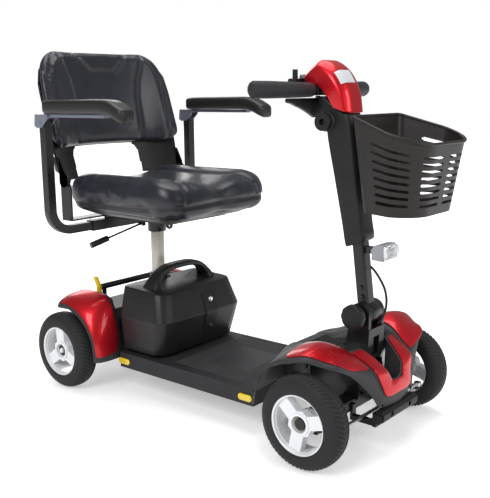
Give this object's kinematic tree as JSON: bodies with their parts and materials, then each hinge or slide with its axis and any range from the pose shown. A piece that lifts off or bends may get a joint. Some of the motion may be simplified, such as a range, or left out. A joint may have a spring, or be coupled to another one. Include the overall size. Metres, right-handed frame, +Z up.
{
  "type": "mobility scooter",
  "caption": "Compact four-wheeled battery mobility scooter: swivelling padded seat with flip-up arms, tilting tiller with basket and lamp, deck, lift-out battery.",
  "frame": {"origin": "on the floor, under the middle of the overall length and width", "axes": "+X forwards, +Y the rider's left, +Z up"},
  "size_m": [1.2617, 0.627, 1.0058],
  "materials": {
    "frame_black": "satin black powder coat",
    "shroud_grey": "fine-grained dark grey moulding",
    "deck_grey": "fine-grained dark grey moulding",
    "mat_rubber": "ribbed anti-slip rubber",
    "reflector_yellow": "prismatic yellow reflector",
    "panel_red": "gloss metallic red",
    "grille_black": "dark moulding",
    "bumper_rubber": "matt rubber",
    "gear_alu": "cast, bead blasted",
    "motor_black": "black lacquer",
    "controller_alu": "black anodised, finned",
    "tyre": "solid rubber with fine tread",
    "rim_silver": "pale silver lacquer",
    "steel_plain": "zinc plated",
    "moulding_dark": "dark moulding",
    "grip_rubber": "soft matt rubber",
    "horn_yellow": "yellow push button",
    "dial_grey": "grey moulding",
    "basket_plastic": "warm dark brown-black moulding",
    "lamp_grey": "silver-grey moulding",
    "lens_clear": "clear lens",
    "cable_black": "black PVC sheath",
    "battery_plastic": "charcoal satin moulding",
    "battery_cell": "sealed lead battery",
    "lever_yellow": "yellow moulding",
    "caster_rubber": "hard rubber roller",
    "post_chrome": "polished",
    "pan_plastic": "seat base moulding",
    "vinyl_black": "black grained vinyl over foam",
    "shell_plastic": "black textured moulding",
    "arm_bracket": "silver-grey lacquer",
    "arm_pad": "glossy moulded polyurethane"
  },
  "bodies": {
    "chassis": {"main_frame": "frame_black", "floor_pan": "deck_grey", "deck_mat": "mat_rubber", "side_reflectors": "reflector_yellow", "front_grille": "grille_black", "front_shroud": "shroud_grey", "front_red_panels": "panel_red", "bumper_pad": "bumper_rubber", "rear_shroud": "shroud_grey", "rear_red_panels": "panel_red", "transaxle": "gear_alu", "drive_motor": "motor_black", "controller": "controller_alu"},
    "rear_wheel_r": {"rear_tyre_r": "tyre", "rear_rim_r": "rim_silver"},
    "rear_wheel_l": {"rear_tyre_l": "tyre", "rear_rim_l": "rim_silver"},
    "steering": {"steering_base": "frame_black"},
    "knuckle_r": {"knuckle_r": "frame_black"},
    "knuckle_l": {"knuckle_l": "frame_black"},
    "tie_rod": {"tie_rod": "steel_plain"},
    "front_wheel_r": {"front_tyre_r": "tyre", "front_rim_r": "rim_silver"},
    "front_wheel_l": {"front_tyre_l": "tyre", "front_rim_l": "rim_silver"},
    "tilt_knob": {"tilt_knob": "moulding_dark"},
    "tiller": {"tiller_tube": "frame_black", "column_cover": "shroud_grey", "head_cover": "panel_red", "console": "moulding_dark", "handlebar": "frame_black", "handlebar_grips": "grip_rubber", "charger_socket": "moulding_dark", "control_cable": "cable_black"},
    "throttle": {"throttle_lever": "moulding_dark"},
    "key": {"ignition_key": "moulding_dark"},
    "speed_dial": {"speed_dial": "dial_grey"},
    "horn": {"horn_button": "horn_yellow"},
    "basket": {"basket": "basket_plastic"},
    "headlamp": {"lamp_housing": "lamp_grey", "lamp_lens": "lens_clear"},
    "battery": {"battery_case": "battery_plastic", "battery_cells": "battery_cell"},
    "freewheel_lever": {"freewheel_lever": "lever_yellow"},
    "anti_tip_wheels": {"anti_tip_wheels": "caster_rubber"},
    "seat_post": {"seat_post": "post_chrome"},
    "seat": {"seat_frame": "frame_black", "seat_pan": "pan_plastic", "seat_cushion": "vinyl_black"},
    "swivel_lever": {"swivel_lever": "steel_plain"},
    "backrest": {"back_shell": "shell_plastic", "back_cushion": "vinyl_black"},
    "arm_r": {"arm_tube_r": "frame_black"},
    "arm_l": {"arm_tube_l": "frame_black"},
    "arm_knob_r": {"arm_knob_r": "moulding_dark"},
    "arm_knob_l": {"arm_knob_l": "moulding_dark"},
    "armrest_r": {"armrest_r": "arm_bracket", "arm_pad_r": "arm_pad"},
    "armrest_l": {"armrest_l": "arm_bracket", "arm_pad_l": "arm_pad"}
  },
  "joints": [
    {"name": "rear_wheel_r_spin", "type": "hinge", "parent": "chassis", "child": "rear_wheel_r", "pos_m": [-0.46, -0.247, 0.1145], "axis": [0, 1, 0], "continuous": true},
    {"name": "rear_wheel_l_spin", "type": "hinge", "parent": "chassis", "child": "rear_wheel_l", "pos_m": [-0.46, 0.247, 0.1145], "axis": [0, 1, 0], "continuous": true},
    {"name": "steer", "type": "hinge", "parent": "chassis", "child": "steering", "pos_m": [0.424, 0, 0.2], "axis": [0, 0, 1], "range_deg": [-32, 32]},
    {"name": "knuckle_r_turn", "type": "hinge", "parent": "chassis", "child": "knuckle_r", "pos_m": [0.416, -0.195, 0.1145], "axis": [0, 0, 1], "range_deg": [-32, 32]},
    {"name": "knuckle_l_turn", "type": "hinge", "parent": "chassis", "child": "knuckle_l", "pos_m": [0.416, 0.195, 0.1145], "axis": [0, 0, 1], "range_deg": [-32, 32]},
    {"name": "tie_rod_link", "type": "hinge", "parent": "knuckle_r", "child": "tie_rod", "pos_m": [0.476, -0.195, 0.09], "axis": [0, 0, 1], "range_deg": [-32, 32]},
    {"name": "front_wheel_r_spin", "type": "hinge", "parent": "knuckle_r", "child": "front_wheel_r", "pos_m": [0.416, -0.247, 0.1145], "axis": [0, 1, 0], "continuous": true},
    {"name": "front_wheel_l_spin", "type": "hinge", "parent": "knuckle_l", "child": "front_wheel_l", "pos_m": [0.416, 0.247, 0.1145], "axis": [0, 1, 0], "continuous": true},
    {"name": "tilt_knob_turn", "type": "hinge", "parent": "steering", "child": "tilt_knob", "pos_m": [0.43, -0.06, 0.327], "axis": [0, -1, 0], "continuous": true},
    {"name": "tiller_tilt", "type": "hinge", "parent": "steering", "child": "tiller", "pos_m": [0.43, 0, 0.327], "axis": [0, -1, 0], "range_deg": [0, 28], "deforming": ["control_cable"]},
    {"name": "throttle_turn", "type": "hinge", "parent": "tiller", "child": "throttle", "pos_m": [0.277, 0, 0.848], "axis": [0, 0, 1], "range_deg": [-12, 12], "stiffness_Nm_per_rad": 1.2},
    {"name": "key_turn", "type": "hinge", "parent": "tiller", "child": "key", "pos_m": [0.25, -0.058, 0.903], "axis": [0, 0, -1], "range_deg": [0, 90]},
    {"name": "speed_dial_turn", "type": "hinge", "parent": "tiller", "child": "speed_dial", "pos_m": [0.251, -0.026, 0.903], "axis": [0, 0, -1], "range_deg": [0, 270]},
    {"name": "horn_press", "type": "slide", "parent": "tiller", "child": "horn", "axis": [0, 0, -1], "range_m": [0, 0.0025], "stiffness_N_per_m": 900},
    {"name": "basket_lift", "type": "slide", "parent": "tiller", "child": "basket", "axis": [-0.1219, 0, 0.9925], "range_m": [0, 0.08]},
    {"name": "lamp_tilt", "type": "hinge", "parent": "tiller", "child": "headlamp", "pos_m": [0.451, 0, 0.486], "axis": [0, 1, 0], "range_deg": [-15, 15]},
    {"name": "battery_lift", "type": "slide", "parent": "chassis", "child": "battery", "axis": [0, 0, 1], "range_m": [0, 0.09]},
    {"name": "freewheel_turn", "type": "hinge", "parent": "chassis", "child": "freewheel_lever", "pos_m": [-0.41, -0.1465, 0.212], "axis": [0, -1, 0], "range_deg": [0, 22]},
    {"name": "anti_tip_spin", "type": "hinge", "parent": "chassis", "child": "anti_tip_wheels", "pos_m": [-0.605, 0, 0.042], "axis": [0, 1, 0], "continuous": true},
    {"name": "seat_height", "type": "slide", "parent": "chassis", "child": "seat_post", "axis": [0, 0, 1], "range_m": [0, 0.1]},
    {"name": "seat_swivel", "type": "hinge", "parent": "seat_post", "child": "seat", "pos_m": [-0.311, 0, 0.48], "axis": [0, 0, 1], "continuous": true},
    {"name": "swivel_lever_pull", "type": "hinge", "parent": "seat", "child": "swivel_lever", "pos_m": [-0.335, -0.04, 0.484], "axis": [-1, 0, 0], "range_deg": [0, 15], "stiffness_Nm_per_rad": 1.5},
    {"name": "backrest_fold", "type": "hinge", "parent": "seat", "child": "backrest", "pos_m": [-0.439, 0, 0.622], "axis": [0, 1, 0], "range_deg": [0, 80]},
    {"name": "arm_r_slide", "type": "slide", "parent": "seat", "child": "arm_r", "axis": [0, -1, 0], "range_m": [0, 0.05]},
    {"name": "arm_l_slide", "type": "slide", "parent": "seat", "child": "arm_l", "axis": [0, 1, 0], "range_m": [0, 0.05]},
    {"name": "arm_knob_r_turn", "type": "hinge", "parent": "seat", "child": "arm_knob_r", "pos_m": [-0.49, -0.1, 0.48], "axis": [1, 0, 0], "continuous": true},
    {"name": "arm_knob_l_turn", "type": "hinge", "parent": "seat", "child": "arm_knob_l", "pos_m": [-0.49, 0.1, 0.48], "axis": [1, 0, 0], "continuous": true},
    {"name": "armrest_r_flip", "type": "hinge", "parent": "arm_r", "child": "armrest_r", "pos_m": [-0.45, -0.29, 0.79], "axis": [0, -1, 0], "range_deg": [0, 95]},
    {"name": "armrest_l_flip", "type": "hinge", "parent": "arm_l", "child": "armrest_l", "pos_m": [-0.45, 0.29, 0.79], "axis": [0, -1, 0], "range_deg": [0, 95]}
  ],
  "couplings": [
    {"joint": "knuckle_r_turn", "follows": "steer", "ratio": 1},
    {"joint": "knuckle_l_turn", "follows": "steer", "ratio": 1},
    {"joint": "tie_rod_link", "follows": "steer", "ratio": -1}
  ]
}
